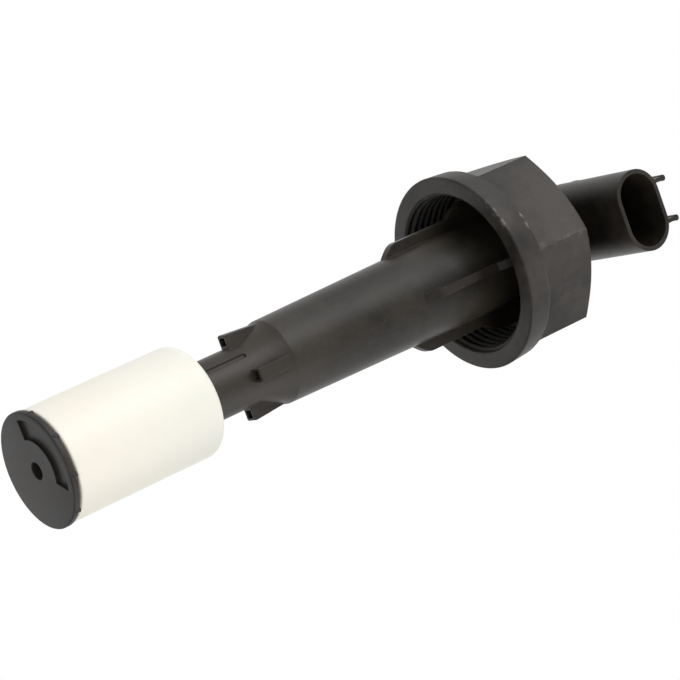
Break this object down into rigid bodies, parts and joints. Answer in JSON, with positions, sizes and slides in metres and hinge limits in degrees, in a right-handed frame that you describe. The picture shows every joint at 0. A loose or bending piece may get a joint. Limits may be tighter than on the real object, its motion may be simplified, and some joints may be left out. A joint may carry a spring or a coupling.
{
  "type": "coolant level sensor",
  "caption": "Black plastic stem with a plug socket elbow, a union nut, an end cap and an ivory ring float that slides on its guide tube.",
  "frame": {"origin": "on the stem's axis, at the flange's sealing face", "axes": "+Z along the stem from its tip to its head, +X from the stem's axis to the mouth of the plug socket"},
  "size_m": [0.0516, 0.048, 0.168],
  "materials": {
    "black_plastic": "moulded, satin",
    "nut_plastic": "moulded, fine grain",
    "float_plastic": "moulded, ivory, satin",
    "seal_rubber": "matte",
    "carrier_plastic": "moulded",
    "tinned_metal": "tinned",
    "board_laminate": "solder mask",
    "capsule_glass": "clear, green tint",
    "blade_metal": "plain",
    "resistor_body": "glazed",
    "ferrite": "sintered",
    "cushion_rubber": "matte"
  },
  "bodies": {
    "sensor": {"housing": "black_plastic", "end_cap": "black_plastic", "head_lid": "black_plastic", "seal_ring": "seal_rubber", "terminal_carrier": "carrier_plastic", "contact_pin_1": "tinned_metal", "contact_pin_2": "tinned_metal", "carrier_board": "board_laminate", "tip_cushion": "cushion_rubber", "reed_glass": "capsule_glass", "reed_blade_lower": "blade_metal", "reed_blade_upper": "blade_metal", "resistor_series": "resistor_body", "resistor_parallel": "resistor_body"},
    "float": {"float_body": "float_plastic", "float_magnet": "ferrite", "magnet_retainer": "float_plastic"},
    "nut": {"union_nut": "nut_plastic"}
  },
  "joints": [
    {"name": "float_slide", "type": "slide", "parent": "sensor", "child": "float", "axis": [0, 0, 1], "range_m": [0, 0.0125]},
    {"name": "nut_spin", "type": "hinge", "parent": "sensor", "child": "nut", "pos_m": [0, 0, 0], "axis": [0, 0, 1], "continuous": true}
  ]
}
